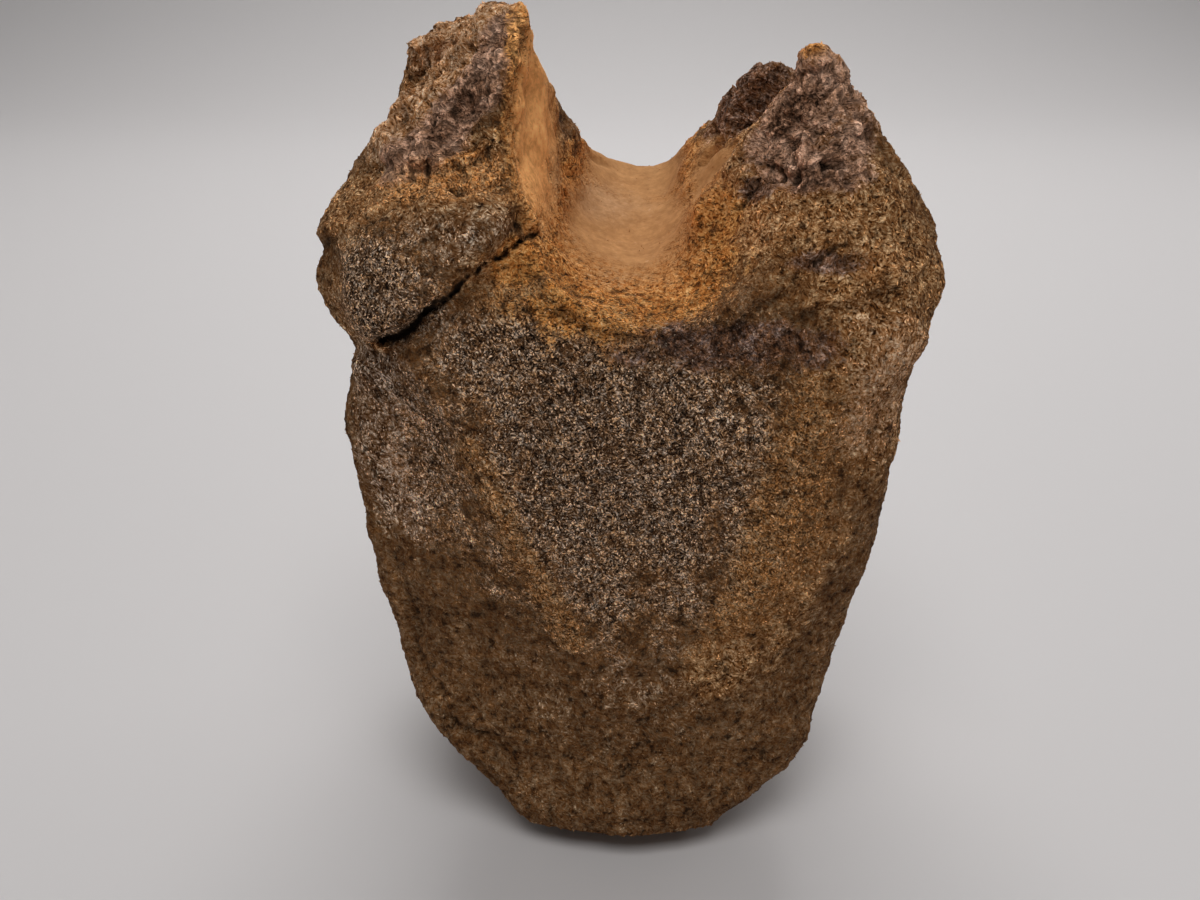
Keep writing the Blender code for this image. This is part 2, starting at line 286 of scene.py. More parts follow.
# cracks and gullies: a line, the way into the stone, width and depth in mm at its two ends, how much painted
# shade darkens it, and how sharply its edge falls
creases = {
    "underKnob": {
        "line": [(-16.5, -28.5, 131), (-20, -32, 129.6), (-23, -34.3, 128.1), (-25.7, -35.9, 126.6),
                 (-28.3, -36.5, 124.9), (-31.7, -36, 122), (-34, -36.2, 120.3), (-36, -35.5, 118.4),
                 (-38.4, -35.5, 116.2), (-40.3, -36.5, 114.8), (-42.2, -36.5, 114.2),
                 (-44.3, -36, 113.9)],
        "way": (-0.11, 0.945, -0.31), "width": (0.22, 1.3), "depth": (1.8, 4.0), "paintedShade": 0.9, "edge": 1.7,
    },
    "lowGully": {
        "line": [(-36.9, -30.6, 27.6), (-32.4, -31.4, 25.6), (-28.6, -32.4, 23.9), (-26.1, -33.3, 22.5)],
        "way": (0.3, 0.95, 0.1), "width": (1.2, 1.6), "depth": (1.2, 1.9), "paintedShade": 0.4, "edge": 1.3,
    },
    "lowestGully": {
        "line": [(-31, -32.3, 17.8), (-28.5, -32, 14), (-25.5, -32, 10)],
        "way": (0.5, 0.8, 0.2), "width": (1.2, 1.4), "depth": (1.4, 1.8), "paintedShade": 0.4, "edge": 1.3,
    },
    "edgeGully": {
        "line": [(-43.8, -27.2, 51.5), (-43.9, -26.2, 42.4), (-39.1, -28.9, 34.4)],
        "way": (0.5, 0.86, 0.05), "width": (1.7, 1.3), "depth": (1.6, 1.3), "paintedShade": 0.3, "edge": 1.3,
    },
    "shoulderGash": {
        "line": [(32.4, -34, 127), (35, -32.5, 128.6), (38, -31.2, 129)],
        "way": (-0.05, 0.9, -0.4), "width": (0.9, 0.7), "depth": (1.5, 1.1), "paintedShade": 0.6, "edge": 1.5,
    },
    "rampGash": {
        "line": [(18.9, -21, 133), (20.3, -20.5, 134.7), (22.4, -19.8, 137)],
        "way": (0.5, 0.8, -0.3), "width": (0.5, 0.9), "depth": (1.2, 2.0), "paintedShade": 0.7, "edge": 1.5,
    },
}

# how creases bend, widen along their length and fray at their edges, and how far they reach, in mm
creaseForm = {
    "bendSize": 5.0,
    "bend": 0.9,
    "bendShifts": (0, 40, 80),  # one for each axis, so that they bend apart
    "widening": 1.3,
    "widthSize": 1.6,
    "widthChange": 0.7,
    "fraySize": 0.9,
    "fray": 0.5,
    "reach": 4,
    "deepest": 8,
}


def creaseLevel(points, crease):
    # how far inside the crease each point is, looking along its way into the stone, and its push that way
    way = np.array(crease["way"]) / np.linalg.norm(crease["way"])
    line = np.array(crease["line"], float)
    flat = points - (points @ way)[:, None] * way
    size, amount = creaseForm["bendSize"], creaseForm["bend"]
    bends = [wobble(points + shift, size, amount) for shift in creaseForm["bendShifts"]]
    flat = flat + np.column_stack(bends)
    near, _, along = besideLine(flat, line - (line @ way)[:, None] * way)
    surface = np.interp(along * (len(line) - 1), range(len(line)), line @ way)
    picked = (near < creaseForm["reach"]) & (np.abs(points @ way - surface) < creaseForm["deepest"])
    width = between(crease["width"], along[picked] ** creaseForm["widening"])
    width = width * (1 + wobble(flat[picked], creaseForm["widthSize"], creaseForm["widthChange"]))
    near = near[picked] + wobble(flat[picked], creaseForm["fraySize"], creaseForm["fray"])
    level = np.zeros(len(points))
    level[picked] = np.exp(-(np.maximum(near, 0) / width) ** crease["edge"])
    return level, (level * between(crease["depth"], along))[:, None] * way


# where each look lies: middle and half widths in mm; the level is a half at the edge
looks = {
    "grey": [
        # the patch low in the left trough is paler grey, partly its own colour and partly painted light on
        # that left-facing side
        ((-2, -39, 92), (27, 14, 34)), ((-46, -35, 121), (12, 12, 11)), ((-41, -31, 90), (11, 10, 18), 0.8),
        ((-44, -30, 104), (10, 9, 8), 0.9), ((-22, -36, 112), (13, 8, 9), 0.9),
        ((0, -38, 60), (22, 12, 28), 0.28), ((-4, 36, 82), (26, 8, 30), 0.8),
        ((-47, 4, 96), (10, 15, 14), 0.75), ((44, 2, 62), (10, 14, 20), 0.7),
        ((-38, 2, 40), (9, 14, 12), 0.6), ((-31, -33, 131), (12, 6, 7), 0.6),
    ],
    "tan": [
        ((38, -28, 130), (20, 16, 14)), ((50, -28, 118), (10, 12, 12)),
        ((45, -34, 100), (10, 12, 18), 0.85), ((35, -38, 90), (8, 8, 26), 0.85),
        ((27, -38, 62), (9, 7, 18), 0.75), ((-36, -26, 141), (19, 11, 8)), ((-21, -35, 124), (10, 7, 6)),
        ((-52, -26, 118), (7, 9, 8), 0.6), ((-49, -22, 134), (10, 9, 7), 0.9),
        ((-34, 2, 155), (13, 24, 15)), ((30, 4, 146), (15, 26, 12)), ((-40, 30, 130), (20, 14, 16), 0.8),
        ((38, 32, 126), (20, 14, 16), 0.8), ((-40, 36, 84), (9, 8, 36), 0.8),
        ((38, 37, 78), (9, 8, 34), 0.8), ((0, 35, 24), (26, 8, 12), 0.6), ((49, -2, 104), (8, 18, 12), 0.7),
    ],
    "sandy": [
        ((-34, -25, 140.5), (14, 8, 5)), ((22, -20, 133), (8, 12, 8)), ((33, -29, 133.5), (8, 7, 6), 0.45),
        ((-22, -32, 127), (8, 6, 4), 0.8), ((-46, -31, 110.6), (3.2, 3, 1.3)),
        ((44, -32, 127), (6, 5, 4), 0.6), ((31, -13, 161.5), (6, 7, 4.5), 0.9),
    ],
    "dustAndPaintedLight": [
        ((-41, -14, 148), (9, 10, 9)), ((-29, -12, 160), (8, 8, 9)), ((-24, -14, 166), (6, 6, 4)),
        # the last patch, low in the left trough, is partly dust and partly painted light on that left-facing
        # side
        ((-36, 4, 158), (9, 12, 8)), ((46, -34, 104), (9, 8, 14), 0.7), ((-42, -31, 90), (7, 8, 15), 0.4),
    ],
    "ochre": [
        ((-1, -2, 123), (24, 44, 16)), ((-18, -8, 143), (5.5, 24, 24)), ((18, 0, 130), (6, 24, 8)),
        ((2, 28, 128), (24, 20, 11)), ((-3, -31, 119.5), (19, 8, 4.2)), ((-19, -32, 127), (7, 6, 5), 0.8),
        ((31, -13, 162), (5, 6, 4), 0.62),
    ],
    "smooth": [
        ((0, 4, 123), (17, 25, 10)), ((-17.5, -6, 142), (5, 20, 18)), ((2, 28, 128), (18, 14, 8)),
        ((18, 4, 132), (6, 18, 8)),
    ],
    "haze": [
        ((-5, 13, 126), (10, 10, 4), 0.7), ((-15, -4, 137), (2.6, 5, 6), 0.6),
        ((-2, -22, 121), (6, 5, 2), 0.4),
    ],
    "bright": [
        ((-18, -8, 146), (4, 22, 22)), ((-33, -26, 140.5), (12, 6, 4), 0.35),
    ],
    "fine": [
        ((-4, -37, 88), (44, 16, 42)), ((-34, -26, 140), (15, 8, 5)), ((-44, -35, 123), (13, 12, 12)),
    ],
    "broken": [
        ((-33, -18, 149), (14, 12, 16)), ((36, -16, 146), (16, 12, 14)), ((-35, 8, 154), (12, 11, 12)),
        ((26, 17, 144), (11, 11, 10)), ((-34, 28, 144), (17, 14, 14)), ((30, 30, 138), (15, 12, 12)),
    ],
    "torn": [
        ((34, -13, 150), (9, 8, 9)), ((27, -18, 144), (7, 6, 7)), ((33, -24, 141), (8, 7, 4)),
        ((-17, -4, 137), (3, 5, 4), 0.7), ((-36, 30, 146), (12, 10, 8)), ((32, 33, 140), (10, 8, 8)),
    ],
    # dark purple-brown stone, with painted shade under the canal lip, under the right ledges, in the ramp
    # gash and behind the right knob
    "purpleAndShade": [
        ((18, -37, 112.5), (18, 6, 4.6)), ((33, -33, 127), (8, 4, 1.8), 0.9), ((25, 17, 146), (12, 10, 9)),
        ((21.9, -20, 137), (4, 4, 2.5), 0.8), ((33, -25, 139), (6, 5, 2.5), 0.7),
    ],
}

# looks that follow a line: the line, the half width in mm and the strength
bands = {
    "torn": [
        ([(-22, -16, 161.5), (-26, -19, 155), (-30.5, -19, 149.5), (-35, -23.5, 145), (-42, -22.5, 143.5)],
         4.6, 1.0),
        ([(23, -17, 147), (28, -18, 142), (34, -22, 141), (41, -19, 147)], 4.0, 0.9),
    ],
    "purpleAndShade": [
        ([(-27, -19, 154), (-31, -19, 149.5), (-34, -22, 146)], 2.6, 0.68),
        ([(27, -16, 148), (31, -16, 151), (37, -15, 150)], 3.0, 0.75),
    ],
    "tan": [
        ([(-29, -37.4, 93), (-24, -38.2, 81), (-18.6, -38, 68.3), (-11, -37, 52)], 3.0, 1.1),
        ([(46, -34, 118), (36, -38, 106), (30.5, -38, 87), (25.5, -38, 62), (18, -37.5, 45)], 6.5, 1.1),
    ],
}


def insideLevel(far):
    # full well inside, a half at the edge, and none at one and a half times the width
    return np.clip(1.5 - far, 0, 1)


def lookLevel(points, name):
    level = np.zeros(len(points))
    for middle, halves, *strength in looks[name]:
        far = np.linalg.norm((points - np.array(middle)) / np.array(halves), axis=1)
        level = np.maximum(level, insideLevel(far) * (strength or [1])[0])
    for line, half, strength in bands.get(name, []):
        level = np.maximum(level, insideLevel(besideLine(points, line)[0] / half) * strength)
    return level


# the bone's own skin, with distances in mm
skin = {
    "weld": 0.001,
    "voxel": 0.5,
    "softening": 8,
    "heightSoftening": 4,
    "mostFaces": 197000,
    "restingHeight": 1.6,  # below this the two feet keep their flats
    "depthSoftening": 12,
    "depthRange": 1.3,
}

# the lower front rim stands forward, and below it the stone rises off the table, in mm
frontRim = {
    "forward": 3.4, "height": 8.5, "reach": 9.0,
    "middle": -1.0, "half": 30.0, "back": -28.0, "fade": 6.0,
}
frontFoot = {"back": -28.0, "front": -40.5, "lift": 6.2, "curve": 0.006}


def shapedFront(points):
    across = np.clip(1 - ((points[:, 0] - frontRim["middle"]) / frontRim["half"]) ** 2, 0, 1)
    level = np.exp(-((points[:, 2] - frontRim["height"]) / frontRim["reach"]) ** 2)
    front = np.clip((frontRim["back"] - points[:, 1]) / frontRim["fade"], 0, 1)
    points[:, 1] -= frontRim["forward"] * across * level * front
    forward = np.clip((frontFoot["back"] - points[:, 1]) / (frontFoot["back"] - frontFoot["front"]), 0, 1)
    lowest = (frontFoot["lift"] + frontFoot["curve"] * points[:, 0] ** 2) * forward
    points[:, 2] = np.maximum(points[:, 2], lowest)
    return points


def boneSkin():
    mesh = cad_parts["vertebra"].data.copy()
    work = bmesh.new()
    work.from_mesh(mesh)
    bmesh.ops.remove_doubles(work, verts=work.verts, dist=skin["weld"] * mm)
    work.to_mesh(mesh)
    work.free()
    piece = newObject("boneSkin", mesh)
    remesh = piece.modifiers.new("skin", "REMESH")
    remesh.mode = "VOXEL"
    remesh.voxel_size = skin["voxel"] * mm
    settle(piece)
    mesh = piece.data
    edges = edgesOf(mesh)
    points = softened(pointsOf(mesh), edges, skin["softening"])
    movePoints(mesh, points)
    heights = hollowHeights(points)
    for ledge in ledges.values():
        heights += stepHeights(points, ledge)
    for furrow in furrows.values():
        heights += furrowHeights(points, furrow)
    points = points + softened(heights[:, None], edges, skin["heightSoftening"]) * normalsOf(mesh)
    for crease in creases.values():
        points = points + creaseLevel(points, crease)[1]
    movePoints(mesh, shapedFront(points))
    print("bone skin:", len(mesh.vertices), "points")
    return piece


# nodes and their values
def put(tree, kind, inputs=(), **settings):
    node = tree.nodes.new(kind)
    for name, value in settings.items():
        setattr(node, name, value)
    pairs = inputs.items() if isinstance(inputs, dict) else enumerate(inputs)
    for key, value in pairs:
        if isinstance(value, bpy.types.NodeSocket):
            tree.links.new(value, node.inputs[key])
        elif value is not None:
            node.inputs[key].default_value = value
    return node


def calc(tree, operation, *values):
    return put(tree, "ShaderNodeMath", values, operation=operation).outputs[0]


def vector(tree, operation, *values):
    node = put(tree, "ShaderNodeVectorMath", values, operation=operation)
    return node.outputs["Value" if operation == "DOT_PRODUCT" else "Vector"]


def stretched(tree, place, factor):
    node = put(tree, "ShaderNodeVectorMath", {"Vector": place}, operation="SCALE")
    if isinstance(factor, bpy.types.NodeSocket):
        tree.links.new(factor, node.inputs["Scale"])
    else:
        node.inputs["Scale"].default_value = factor
    return node.outputs["Vector"]


def eased(tree, value, low, high, start=0.0, end=1.0):
    node = put(tree, "ShaderNodeMapRange", [value, low, high, start, end], interpolation_type="SMOOTHSTEP")
    return node.outputs[0]


def centred(tree, value, middle, *factors):
    # how far the value is from the middle, times each factor
    value = calc(tree, "SUBTRACT", value, middle)
    for factor in factors:
        value = calc(tree, "MULTIPLY", value, factor)
    return value


def dimmed(tree, value, *shares):
    # the value, less the product of the shares of it
    share = shares[-1]
    for other in shares[-2::-1]:
        share = calc(tree, "MULTIPLY", other, share)
    return calc(tree, "MULTIPLY", value, calc(tree, "SUBTRACT", 1.0, share))


def axisOf(tree, value, axis):
    return put(tree, "ShaderNodeSeparateXYZ", [value]).outputs[axis]


def cloud(tree, place, scale, detail, roughness=0.5):
    inputs = {"Vector": place, "Scale": scale, "Detail": detail, "Roughness": roughness}
    return put(tree, "ShaderNodeTexNoise", inputs).outputs[0]


def cells(tree, place):
    return put(tree, "ShaderNodeTexVoronoi", {"Vector": place, "Scale": 1.0}, feature="F1").outputs


def blendValue(tree, factor, first, second):
    return put(tree, "ShaderNodeMix", {0: factor, 2: first, 3: second}, data_type="FLOAT").outputs[0]


def blendColour(tree, factor, first, second):
    return put(tree, "ShaderNodeMix", {0: factor, 6: first, 7: second}, data_type="RGBA").outputs[2]


def newTree(name, kind, inputs, outputs):
    tree = bpy.data.node_groups.new(name, kind)
    for label, form, value in inputs:
        socket = tree.interface.new_socket(label, in_out="INPUT", socket_type="NodeSocket" + form)
        if value is not None:
            socket.default_value = value
    for label, form in outputs:
        tree.interface.new_socket(label, in_out="OUTPUT", socket_type="NodeSocket" + form)
    return tree, tree.nodes.new("NodeGroupInput").outputs, tree.nodes.new("NodeGroupOutput").inputs


def runTree(piece, tree, values):
    modifier = piece.modifiers.new(tree.name, "NODES")
    modifier.node_group = tree
    for item in tree.interface.items_tree:
        if item.in_out == "INPUT" and item.name in values:
            modifier[item.identifier] = values[item.name]
    settle(piece)


def namedLevel(tree, name):
    node = put(tree, "GeometryNodeInputNamedAttribute", {"Name": name}, data_type="FLOAT")
    return node.outputs["Attribute"]


def bentPlace(tree, place, scale, amount, seed=0.0):
    # the place with a random bend, so that cells lose their straight sides
    inputs = {"Vector": place, "W": seed, "Scale": scale, "Detail": 2.0}
    bend = put(tree, "ShaderNodeTexNoise", inputs, noise_dimensions="4D").outputs["Color"]
    bend = stretched(tree, vector(tree, "SUBTRACT", bend, (0.5, 0.5, 0.5)), amount)
    return vector(tree, "ADD", place, bend)


# how far chips bend and tilt, and the steps between them
chips = {"bendScale": 1.3, "bend": 0.5, "slope": 1.4, "step": 0.6, "raised": 0.65}


def chipHeight(tree, place, size, seed):
    # flat chips at random tilts, with a step where two of them meet
    small = stretched(tree, place, calc(tree, "DIVIDE", 1.0, size))
    moved = bentPlace(tree, small, chips["bendScale"], chips["bend"], seed)
    cell = cells(tree, moved)
    tilt = vector(tree, "SUBTRACT", cell["Color"], (0.5, 0.5, 0.5))
    slope = vector(tree, "DOT_PRODUCT", vector(tree, "SUBTRACT", moved, cell["Position"]), tilt)
    step = centred(tree, axisOf(tree, cell["Color"], "X"), chips["raised"], chips["step"])
    return calc(tree, "ADD", calc(tree, "MULTIPLY", slope, chips["slope"]), step)


# the way most streaks lie, how long they are drawn, and their cloud
streaks = {"lean": (0.3, 0.5, 0.7), "stretch": 0.72, "apart": 37.0, "cloud": (2.6, 2.0, 0.6)}


def wovenStreaks(tree, place, size):
    # bundles of short streaks, each bundle lying its own way, most of them down to the right
    near = stretched(tree, place, calc(tree, "DIVIDE", 1.0, size))
    cell = cells(tree, near)
    way = vector(tree, "NORMALIZE", vector(tree, "SUBTRACT", cell["Color"], streaks["lean"]))
    inside = vector(tree, "SUBTRACT", near, cell["Position"])
    along = vector(tree, "DOT_PRODUCT", inside, way)
    drawn = stretched(tree, way, calc(tree, "MULTIPLY", along, streaks["stretch"]))
    apart = stretched(tree, cell["Color"], streaks["apart"])
    inside = vector(tree, "ADD", vector(tree, "SUBTRACT", inside, drawn), apart)
    streak = cloud(tree, inside, *streaks["cloud"])
    return streak, cell["Color"]


# relief of the weathered stone, in mm
relief = {
    "Lump Size": 8.0,
    "Lump Height": 0.8,
    "Chip Size": 7.5,
    "Chip Height": 1.7,
    "Splinter Size": 3.4,
    "Splinter Height": 0.95,
    "Streak Size": 5.5,
    "Streak Height": 0.7,
    "Nodule Size": 1.7,
    "Nodule Height": 0.3,
    "Crumb Size": 1.5,
    "Crumb Height": 0.36,
    "Pit Size": 7.0,
    "Pit Depth": 0.7,
    "Seed": 4.0,
}

# how the looks steer the relief: ranges of a level, and shares
weathering = {
    "driftScale": 0.22, "drift": 0.8,
    "torn": (0.35, 0.8), "broken": (0.3, 0.8), "smooth": (0.35, 0.85), "grey": (0.3, 0.8),
    "greyCalm": 0.45, "calm": 0.92, "lumpCalm": 0.75,
    "streakGain": 3.0, "noduleMiddle": 0.45, "noduleGain": -1.6, "crumbMiddle": 0.55, "crumbGain": 2.4,
    "noduleBend": (1.0, 0.5), "pitBend": (3.0, 0.25), "pitEdge": (0.04, 0.22), "pitChance": 0.72,
    "footLow": 0.3,
}


def weatherTree(material):
    inputs = [("Geometry", "Geometry", None)] + [(label, "Float", 1.0) for label in relief]
    tree, given, result = newTree("weatherStone", "GeometryNodeTree", inputs, [("Geometry", "Geometry")])
    place = stretched(tree, put(tree, "GeometryNodeInputPosition").outputs[0], 1 / mm)
    torn, broken, smooth, grey = (namedLevel(tree, name) for name in ("torn", "broken", "smooth", "grey"))

    def scaled(size):
        return stretched(tree, place, calc(tree, "DIVIDE", 1.0, given[size]))

    # where the stone is torn, where it is broken, and where it lies calm
    drift = centred(tree, cloud(tree, place, weathering["driftScale"], 3.0), 0.5, weathering["drift"])
    torn = eased(tree, calc(tree, "ADD", torn, drift), *weathering["torn"])
    broken = eased(tree, calc(tree, "ADD", broken, drift), *weathering["broken"])
    greyCalm = calc(tree, "MULTIPLY", eased(tree, grey, *weathering["grey"]), weathering["greyCalm"])
    calm = calc(tree, "MAXIMUM", eased(tree, smooth, *weathering["smooth"]), greyCalm)
    rough = dimmed(tree, 1.0, calm, weathering["calm"])

    # one height for each kind of relief
    lump = cloud(tree, scaled("Lump Size"), 1.0, 2.0)
    lumpy = dimmed(tree, 1.0, smooth, weathering["lumpCalm"])
    parts = [centred(tree, lump, 0.5, given["Lump Height"], lumpy)]
    for kind in ("Chip", "Splinter"):
        chip = chipHeight(tree, place, given[kind + " Size"], given["Seed"])
        parts.append(centred(tree, chip, 0.0, given[kind + " Height"], broken))
    streak = wovenStreaks(tree, place, given["Streak Size"])[0]
    parts.append(centred(tree, streak, 0.5, given["Streak Height"], weathering["streakGain"], torn))
    nodule = cells(tree, bentPlace(tree, scaled("Nodule Size"), *weathering["noduleBend"]))["Distance"]
    parts.append(centred(tree, nodule, weathering["noduleMiddle"], given["Nodule Height"],
                         weathering["noduleGain"], rough))
    crumb = cloud(tree, scaled("Crumb Size"), 1.0, 3.0, 0.65)
    parts.append(centred(tree, crumb, weathering["crumbMiddle"], given["Crumb Height"],
                         weathering["crumbGain"], rough))
    cell = cells(tree, bentPlace(tree, scaled("Pit Size"), *weathering["pitBend"]))
    pitted = calc(tree, "GREATER_THAN", axisOf(tree, cell["Color"], "Y"), weathering["pitChance"])
    pit = eased(tree, cell["Distance"], *weathering["pitEdge"], 1.0, 0.0)
    parts.append(centred(tree, pit, 0.0, given["Pit Depth"], -1.0, pitted, rough))

    # the heights together, less near the table
    height = parts[0]
    for part in parts[1:]:
        height = calc(tree, "ADD", height, part)
    held = eased(tree, axisOf(tree, place, "Z"), weathering["footLow"], skin["restingHeight"] * 2)
    height = calc(tree, "MULTIPLY", calc(tree, "MULTIPLY", height, held), mm)
    offset = stretched(tree, put(tree, "GeometryNodeInputNormal").outputs[0], height)
    moved = put(tree, "GeometryNodeSetPosition", {"Geometry": given["Geometry"], "Offset": offset})
    done = put(tree, "GeometryNodeSetMaterial", {"Geometry": moved.outputs[0], "Material": material})
    tree.links.new(done.outputs[0], result[0])
    return tree


# pale sand caught in the stone and loose on it: how many for each square mm, and sizes in mm
grains = {
    "crumbs": {"Amount": 0.4, "Smallest": 0.16, "Largest": 0.38, "Sink": 0.08, "Seed": 5, "zone": "coarse"},
    "paleGrains": {"Amount": 1.3, "Smallest": 0.08, "Largest": 0.2, "Sink": 0.02, "Seed": 11, "zone": "grey"},
    "tanGrains": {"Amount": 0.37, "Smallest": 0.12, "Largest": 0.28, "Sink": 0.04, "Seed": 23,
                  "zone": "rough"},
    "darkGrains": {"Amount": 0.37, "Smallest": 0.1, "Largest": 0.26, "Sink": 0.04, "Seed": 37,
                   "zone": "rough"},
}
leastStretch = (1.0, 0.4, 0.4)
mostStretch = (2.0, 0.8, 0.7)


def grainTree():
    tree, given, result = newTree("scatterSand", "GeometryNodeTree", [
        ("Geometry", "Geometry", None), ("Amount", "Float", 1.0), ("Smallest", "Float", 0.2),
        ("Largest", "Float", 0.4), ("Sink", "Float", 0.0), ("Seed", "Int", 0),
        ("Material", "Material", None)],
        [("Geometry", "Geometry")])

    def randomValue(kind):
        return put(tree, "FunctionNodeRandomValue", {"Seed": given["Seed"]}, data_type=kind)

    share = calc(tree, "MULTIPLY", given["Amount"], namedLevel(tree, "sandShare"))
    density = calc(tree, "MULTIPLY", share, 1 / mm ** 2)
    spread = put(tree, "GeometryNodeDistributePointsOnFaces", {
        "Mesh": given["Geometry"], "Density": density, "Seed": given["Seed"]}, distribute_method="RANDOM")
    crystal = put(tree, "GeometryNodeMeshUVSphere", {"Segments": 4, "Rings": 2, "Radius": mm})
    turn = randomValue("FLOAT_VECTOR")
    turn.inputs[1].default_value = (math.tau, math.tau, math.tau)
    size = randomValue("FLOAT")
    tree.links.new(given["Smallest"], size.inputs[2])
    tree.links.new(given["Largest"], size.inputs[3])
    shape = randomValue("FLOAT_VECTOR")
    shape.inputs[0].default_value = leastStretch
    shape.inputs[1].default_value = mostStretch
    down = stretched(tree, spread.outputs["Normal"], calc(tree, "MULTIPLY", given["Sink"], -mm))
    sunk = put(tree, "GeometryNodeSetPosition", {"Geometry": spread.outputs["Points"], "Offset": down})
    placed = put(tree, "GeometryNodeInstanceOnPoints", {
        "Points": sunk.outputs[0], "Instance": crystal.outputs[0], "Rotation": turn.outputs[0],
        "Scale": stretched(tree, shape.outputs[0], size.outputs[1])})
    stored = put(tree, "GeometryNodeStoreNamedAttribute", {
        "Geometry": placed.outputs[0], "Name": "tone", "Value": randomValue("FLOAT").outputs[1]},
        data_type="FLOAT", domain="INSTANCE")
    real = put(tree, "GeometryNodeRealizeInstances", [stored.outputs[0]])
    done = put(tree, "GeometryNodeSetMaterial", {
        "Geometry": real.outputs[0], "Material": given["Material"]})
    tree.links.new(done.outputs[0], result[0])
    return tree


def brokenEdgeGroup():
    # turns a smooth level into a patch with a ragged edge
    tree, given, result = newTree("raggedPatch", "ShaderNodeTree", [
        ("Drift", "Float", 0.5), ("Level", "Float", 0.0),
        ("Raggedness", "Float", 0.7), ("Softness", "Float", 0.2)], [("Mask", "Float")])
    # well outside its patch a look stays away
    near = eased(tree, given["Level"], 0.0, 0.3)
    drift = centred(tree, given["Drift"], 0.5, given["Raggedness"], near, 2.0)
    level = calc(tree, "ADD", given["Level"], drift)
    low = calc(tree, "SUBTRACT", 0.5, given["Softness"])
    high = calc(tree, "ADD", 0.5, given["Softness"])
    tree.links.new(eased(tree, level, low, high), result["Mask"])
    return tree


# the spread of tones and heights in packed sand, and where a streak is a gap
packing = {"tone": 7.5, "height": 3.0, "gap": (0.3, 0.46)}


def sandGroup():
    # packed sand, short grains lying every way: a tone for each, its height, and the gap beside it, where the
    # colour gets painted shade
    tree, given, result = newTree("packedSand", "ShaderNodeTree", [
        ("Place", "Vector", None), ("Bundle Size", "Float", 1.3)],
        [("Tone", "Float"), ("Height", "Float"), ("Gap", "Float")])
    streak, chances = wovenStreaks(tree, given["Place"], given["Bundle Size"])
    chance = centred(tree, axisOf(tree, chances, "Y"), 0.5)
    tone = centred(tree, streak, 0.5, packing["tone"])
    tree.links.new(calc(tree, "ADD", tone, chance), result["Tone"])
    tree.links.new(calc(tree, "MULTIPLY", streak, packing["height"]), result["Height"])
    tree.links.new(eased(tree, streak, *packing["gap"], 1.0, 0.0), result["Gap"])
    return tree


# the colour of each look, how its tone varies by grain and by cluster, how dark the painted shade in the
# gaps between its grains is, and how ragged and how soft its edge is
finishes = {
    "rust": {"colour": (0.21, 0.114, 0.055, 1),
             "grain": 0.33, "cluster": 0.42, "gap": 0.35, "ragged": 0.0, "soft": 0.3},
    "grey": {"colour": (0.475, 0.278, 0.159, 1),
             "grain": 1.45, "cluster": 0.3, "gap": 0.85, "ragged": 1.1, "soft": 0.45},
    "tan": {"colour": (0.41, 0.215, 0.094, 1),
            "grain": 0.75, "cluster": 0.3, "gap": 0.8, "ragged": 0.8, "soft": 0.45},
    "sandy": {"colour": (0.53, 0.275, 0.122, 1),
              "grain": 0.65, "cluster": 0.3, "gap": 0.75, "ragged": 0.6, "soft": 0.4},
    "dustAndPaintedLight": {"colour": (0.58, 0.345, 0.2, 1),
              "grain": 0.5, "cluster": 0.35, "gap": 0.55, "ragged": 0.8, "soft": 0.4},
    "torn": {"colour": (0.53, 0.33, 0.245, 1),
             "grain": 0.22, "cluster": 0.4, "gap": 0.3, "ragged": 1.1, "soft": 0.3},
    "ochre": {"colour": (0.61, 0.275, 0.082, 1),
              "grain": 0.45, "cluster": 0.25, "gap": 0.6, "ragged": 0.5, "soft": 0.12},
    "smooth": {"colour": (0.48, 0.265, 0.118, 1),
               "grain": 0.03, "cluster": 0.12, "gap": 0.0, "ragged": 0.3, "soft": 0.4},
    "haze": {"colour": (0.5, 0.31, 0.175, 1),
             "grain": 0.05, "cluster": 0.12, "gap": 0.0, "ragged": 0.4, "soft": 0.5},
    "bright": {"colour": (0.93, 0.495, 0.2, 1),
               "grain": 0.06, "cluster": 0.2, "gap": 0.05, "ragged": 0.4, "soft": 0.4},
    # dark purple-brown, the stone's own colour in places and painted shade in others
    "purpleAndShade": {"colour": (0.22, 0.12, 0.078, 1),
               "grain": 0.6, "cluster": 0.5, "gap": 0.5, "ragged": 1.2, "soft": 0.25},
}

# clouds are given by scale, detail and roughness; ranges are where an effect starts and is full
stainingAndShade = {
    "patchCloud": (0.16, 4.5, 0.68), "groupCloud": (0.55, 3.0, 0.62), "stainCloud": (0.16, 3.0, 0.6),
    "stray": 0.07, "groupSpread": 6.5, "stainSpread": 3.5, "spreadLoss": 0.3,
    "spotRange": (0.32, 0.43), "spotDark": 0.6,
    "tornBend": (0.35, 2.5), "tornSize": 3.0, "tornRange": (0.32, 0.68), "crestLightAndShadeGain": 1.25,
    "purpleTorn": 0.7, "dashShape": (0.75, 0.75, 2.0), "dashCloud": (0.8, 2.0, 0.7),
    "dashRange": (0.54, 0.66), "dashDark": 0.75, "dashCalm": 0.6, "smoothCalm": 0.99, "brightCalm": 0.9,
    "hollowShadeAndRidgeLight": 0.9, "deepRange": (0.62, 1.0), "deepShare": 0.8, "creaseRange": (0.15, 0.7),
    "powerRange": (-1.2, 1.2), "darkHue": (1.0, 0.78, 0.55, 1),
    "paleHue": (1.0, 1.02, 0.98, 1), "paleGreyHue": (1.0, 1.14, 1.3, 1),
    "tintRange": (-1.3, 1.3), "orangeTint": (1.14, 0.97, 0.72, 1), "greyTint": (0.88, 1.03, 1.24, 1),
    "quartzRange": (1.2, 1.9), "quartzShare": 0.75, "quartz": (0.72, 0.58, 0.42, 1),
    # the first colour here is the near-black of the painted shade in hollows and creases
    "creviceShadeColour": (0.022, 0.012, 0.006, 1), "shineRange": (0.8, 2.0), "roughness": (0.93, 0.6),
}


